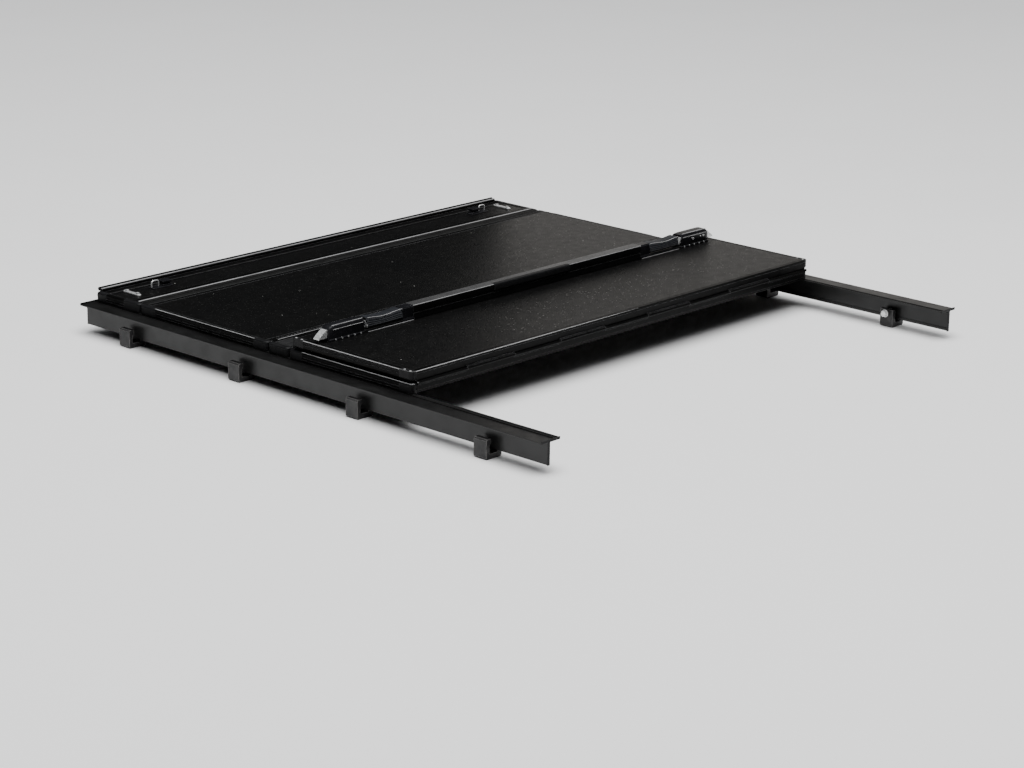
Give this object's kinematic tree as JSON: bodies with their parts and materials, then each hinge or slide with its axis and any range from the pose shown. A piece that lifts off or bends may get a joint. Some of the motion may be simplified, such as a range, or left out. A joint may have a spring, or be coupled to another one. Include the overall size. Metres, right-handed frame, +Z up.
{
  "type": "tonneau cover",
  "caption": "Hard folding tonneau cover: clamp-on side rails, fixed header and hinged textured panels with a latch bar, rear panel folded over the middle one.",
  "frame": {"origin": "centre of the bounding box in X and Y, at the bottom of the rail clamps", "axes": "+Z up, +Y forward to the cab, +X to the right side of the bed"},
  "size_m": [1.544, 1.55, 0.1655],
  "materials": {
    "rail_aluminium": "satin black anodised",
    "frame_aluminium": "satin black powder coat",
    "textured_skin": "pebbled black laminate",
    "foam_core": "rigid foam",
    "black_plastic": "fine grained black",
    "gloss_housing": "gloss black",
    "slate_grip": "ribbed slate grey",
    "black_rubber": "matte EPDM",
    "hinge_grey": "satin grey anodised",
    "zinc_steel": "bright zinc plate",
    "cast_clamp": "black coated casting"
  },
  "bodies": {
    "rails_and_header": {"left_rail": "rail_aluminium", "right_rail": "rail_aluminium", "rail_seals": "black_rubber", "rail_end_caps": "black_plastic", "clamp_bodies": "cast_clamp", "clamp_bolts": "zinc_steel", "header_front_bar": "frame_aluminium", "header_rear_bar": "frame_aluminium", "header_side_bars": "frame_aluminium", "header_infill": "textured_skin", "header_corner_caps": "black_plastic", "header_seal": "black_rubber", "header_blocks": "black_plastic", "hold_down_bars": "zinc_steel", "header_screws": "zinc_steel", "anchor_boxes": "gloss_housing", "anchor_loops": "zinc_steel", "prop_seats": "zinc_steel", "front_hinge_pin": "zinc_steel"},
    "front_panel": {"front_top_skin": "textured_skin", "front_core": "foam_core", "front_bottom_skin": "textured_skin", "front_side_frames": "frame_aluminium", "front_lead_frame": "frame_aluminium", "front_trail_frame": "frame_aluminium", "front_corner_caps": "black_plastic", "prop_pivots": "zinc_steel", "prop_clips": "black_plastic"},
    "folding_link": {"fold_link": "hinge_grey", "link_end_caps": "black_plastic", "link_pins": "zinc_steel"},
    "middle_panel": {"middle_top_skin": "textured_skin", "middle_core": "foam_core", "middle_bottom_skin": "textured_skin", "middle_side_frames": "frame_aluminium", "middle_lead_frame": "frame_aluminium", "middle_trail_frame": "frame_aluminium", "middle_corner_caps": "black_plastic", "fold_bumpers": "black_rubber", "rear_hinge_pin": "zinc_steel"},
    "rear_panel": {"rear_top_skin": "textured_skin", "rear_core": "foam_core", "rear_bottom_skin": "textured_skin", "rear_side_frames": "frame_aluminium", "rear_lead_frame": "frame_aluminium", "rear_trail_frame": "frame_aluminium", "rear_corner_caps": "black_plastic", "tail_seal": "black_rubber", "latch_bar": "frame_aluminium", "bar_end_blocks": "gloss_housing", "latch_housing_left": "gloss_housing", "latch_housing_right": "gloss_housing", "latch_screws": "zinc_steel", "paddle_pins": "zinc_steel"},
    "left_paddle": {"paddle_left": "slate_grip"},
    "right_paddle": {"paddle_right": "slate_grip"},
    "left_latch_bolt": {"latch_bolt_left": "zinc_steel"},
    "right_latch_bolt": {"latch_bolt_right": "zinc_steel"},
    "left_prop_rod": {"prop_rod_left": "zinc_steel"},
    "right_prop_rod": {"prop_rod_right": "zinc_steel"}
  },
  "joints": [
    {"name": "header_hinge", "type": "hinge", "parent": "rails_and_header", "child": "front_panel", "pos_m": [0, 0.5985, 0.097], "axis": [-1, 0, 0], "range_deg": [0, 90]},
    {"name": "link_front_hinge", "type": "hinge", "parent": "front_panel", "child": "folding_link", "pos_m": [0, 0.134, 0.098], "axis": [-1, 0, 0], "range_deg": [0, 90]},
    {"name": "link_rear_hinge", "type": "hinge", "parent": "folding_link", "child": "middle_panel", "pos_m": [0, 0.062, 0.098], "axis": [-1, 0, 0], "range_deg": [0, 90]},
    {"name": "rear_fold_hinge", "type": "hinge", "parent": "middle_panel", "child": "rear_panel", "pos_m": [0, -0.35, 0.1035], "axis": [-1, 0, 0], "range_deg": [-180, 0]},
    {"name": "left_paddle_pull", "type": "hinge", "parent": "rear_panel", "child": "left_paddle", "pos_m": [-0.509, -0.036, 0.143], "axis": [-1, 0, 0], "range_deg": [-25, 0], "stiffness_Nm_per_rad": 0.3},
    {"name": "right_paddle_pull", "type": "hinge", "parent": "rear_panel", "child": "right_paddle", "pos_m": [0.509, -0.036, 0.143], "axis": [-1, 0, 0], "range_deg": [-25, 0], "stiffness_Nm_per_rad": 0.3},
    {"name": "left_bolt_slide", "type": "slide", "parent": "rear_panel", "child": "left_latch_bolt", "axis": [-1, 0, 0], "range_m": [-0.0122, 0], "stiffness_N_per_m": 50},
    {"name": "right_bolt_slide", "type": "slide", "parent": "rear_panel", "child": "right_latch_bolt", "axis": [1, 0, 0], "range_m": [-0.0122, 0], "stiffness_N_per_m": 50},
    {"name": "left_prop_swing", "type": "hinge", "parent": "front_panel", "child": "left_prop_rod", "pos_m": [-0.688, 0.45, 0.071], "axis": [1, 0, 0], "range_deg": [0, 128.68]},
    {"name": "right_prop_swing", "type": "hinge", "parent": "front_panel", "child": "right_prop_rod", "pos_m": [0.688, 0.45, 0.071], "axis": [1, 0, 0], "range_deg": [0, 128.68]}
  ],
  "couplings": [
    {"joint": "link_rear_hinge", "follows": "link_front_hinge", "ratio": 1},
    {"joint": "left_bolt_slide", "follows": "left_paddle_pull", "m_per_rad": 0.0275},
    {"joint": "right_bolt_slide", "follows": "right_paddle_pull", "m_per_rad": 0.0275}
  ]
}
